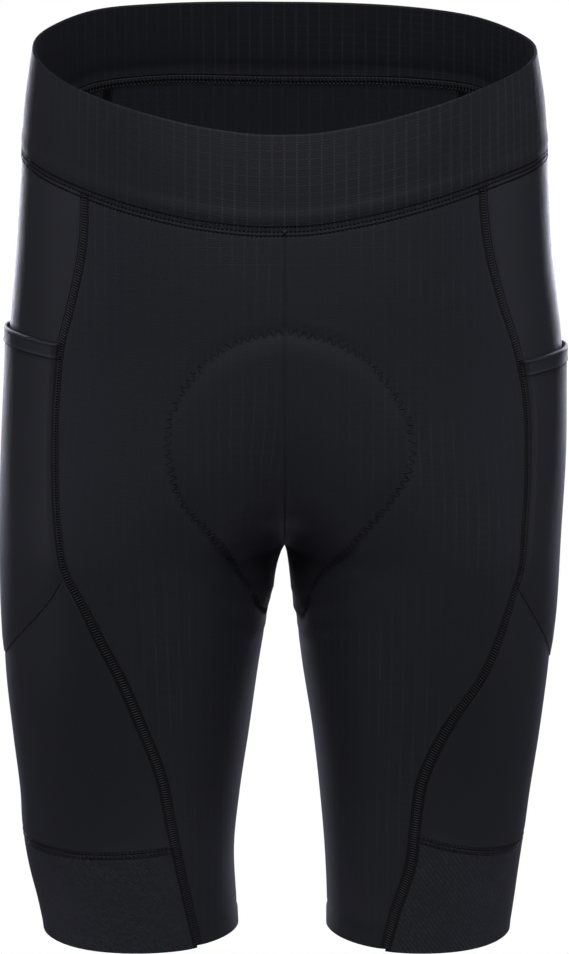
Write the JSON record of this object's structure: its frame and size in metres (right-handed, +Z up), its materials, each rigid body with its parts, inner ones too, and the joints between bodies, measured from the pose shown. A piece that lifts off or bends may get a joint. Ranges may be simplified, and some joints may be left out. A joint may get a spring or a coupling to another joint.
{
  "type": "cycling shorts",
  "caption": "Close-fitting cycling shorts with a wide waistband, side pockets and hem grippers, open at the waist and hems, held in their worn shape.",
  "frame": {"origin": "middle of the waist opening, level with the rim at its sides, where the wearer's waist holds the shorts", "axes": "+Z up, the front of the garment faces -Y, the wearer's left is +X"},
  "size_m": [0.3504, 0.2367, 0.5708],
  "materials": {
    "grid_band": "matte",
    "grid_knit": "matte",
    "smooth_knit": "matte",
    "pocket_knit": "matte",
    "gripper_mesh": "matte"
  },
  "bodies": {
    "root": {"waistband_front": "grid_band", "waistband_back": "grid_band", "front_left": "grid_knit", "front_right": "grid_knit", "back_left": "grid_knit", "back_right": "grid_knit", "side_left": "smooth_knit", "side_right": "smooth_knit", "pocket_left": "pocket_knit", "pocket_right": "pocket_knit", "gripper_left": "gripper_mesh", "gripper_right": "gripper_mesh"}
  },
  "joints": []
}
